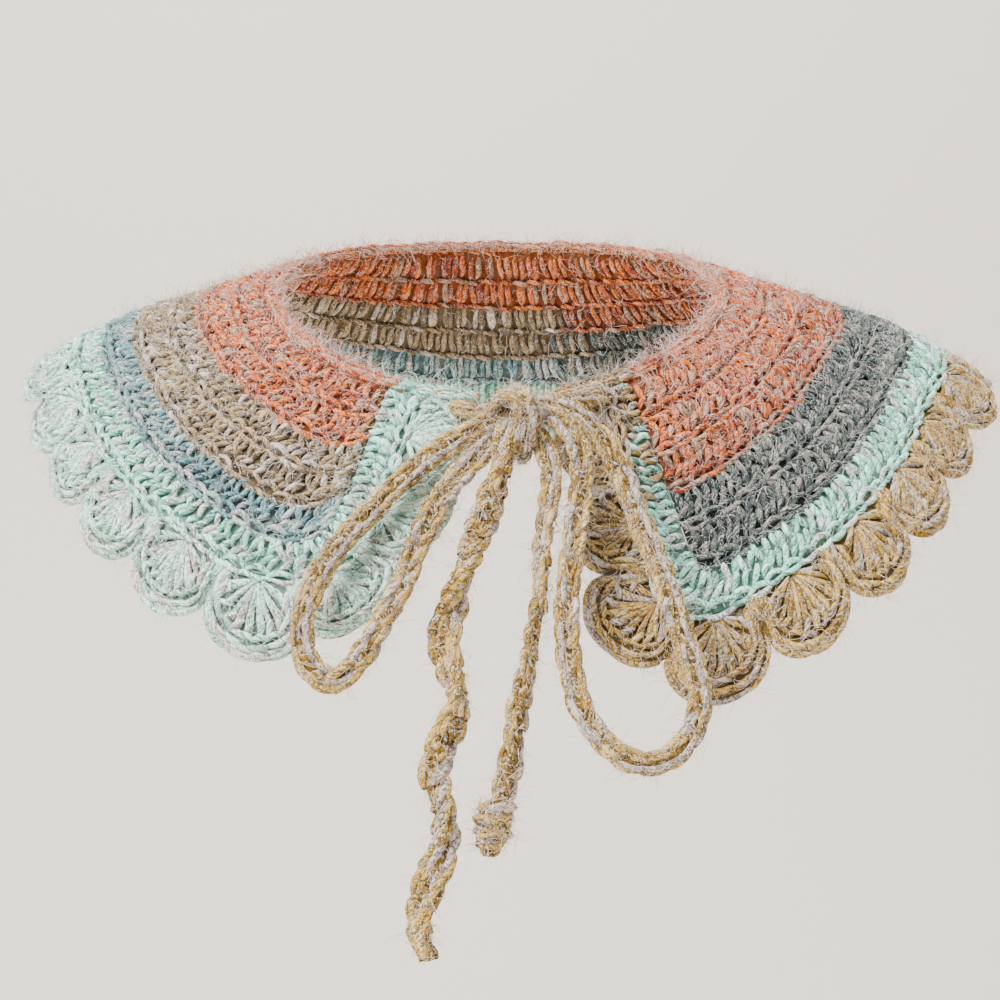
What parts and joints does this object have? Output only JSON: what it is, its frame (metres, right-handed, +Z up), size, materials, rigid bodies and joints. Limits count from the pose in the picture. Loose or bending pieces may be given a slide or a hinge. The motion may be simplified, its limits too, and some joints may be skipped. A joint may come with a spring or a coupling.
{
  "type": "crochet collar",
  "caption": "Round crocheted collar with a scalloped edge, closed at the front by a chain cord tied in a bow with two hanging tails.",
  "frame": {"origin": "centre of the neck opening, where the collar sits round a neck", "axes": "+Z up along the neck, the bow and the open front towards -Y, +X to the wearer's left"},
  "size_m": [0.3377, 0.2717, 0.2281],
  "materials": {
    "neck_yarn": "fuzzy brown-orange wool and mohair chain",
    "body_yarn": "fuzzy self-striping wool and mohair, orange, brown and grey",
    "border_yarn": "fuzzy mint wool and mohair",
    "shell_yarn": "fuzzy mint and golden tan wool and mohair",
    "tie_yarn": "fuzzy golden tan wool with lilac-white mohair"
  },
  "bodies": {
    "root": {"foundation_chain": "neck_yarn", "collar_rows": "body_yarn", "border_round": "border_yarn", "shell_edging": "shell_yarn", "tie_knot": "tie_yarn", "left_loop": "tie_yarn", "right_loop": "tie_yarn", "left_tail": "tie_yarn", "right_tail": "tie_yarn", "tail_knot": "tie_yarn"}
  },
  "joints": []
}
